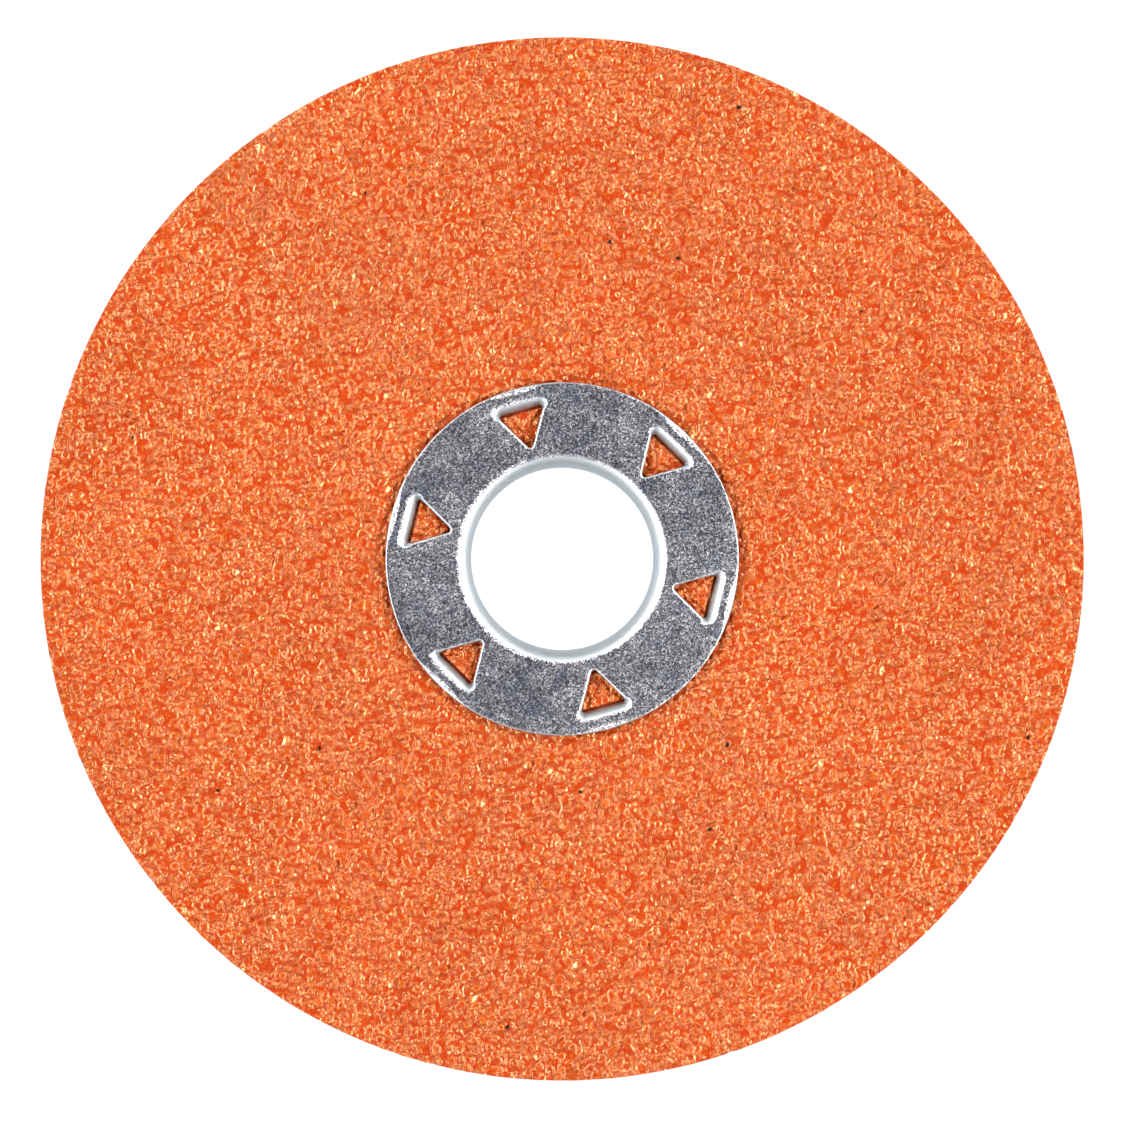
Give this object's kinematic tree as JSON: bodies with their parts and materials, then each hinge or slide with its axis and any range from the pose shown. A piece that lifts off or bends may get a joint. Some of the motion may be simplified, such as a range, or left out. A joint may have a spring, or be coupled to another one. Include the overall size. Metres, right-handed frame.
{
  "type": "angle grinder shaping disc",
  "caption": "Flat coated abrasive shaping disc with glossy bonded grain on a fibre backing, gripped by a pressed steel hub with an arbor hole, for an angle grinder.",
  "frame": {"origin": "on the arbor axis, in the plane of the fibre backing's rear face, which rests on the backing pad", "axes": "+Z along the arbor axis out of the abrasive side; +X and +Y in the disc's plane, with the first tooth 45.7 degrees from +X towards +Y"},
  "size_m": [0.127, 0.127, 0.0039],
  "materials": {
    "vulcanised_fibre": "matte",
    "bond_resin": "gloss",
    "grain": "satin",
    "supersize_resin": "gloss",
    "zinc_steel": "satin"
  },
  "bodies": {
    "root": {"fibre_backing": "vulcanised_fibre", "make_coat": "bond_resin", "abrasive_grain": "grain", "size_coat": "bond_resin", "supersize_coat": "supersize_resin", "front_flange": "zinc_steel", "rear_flange": "zinc_steel"}
  },
  "joints": []
}
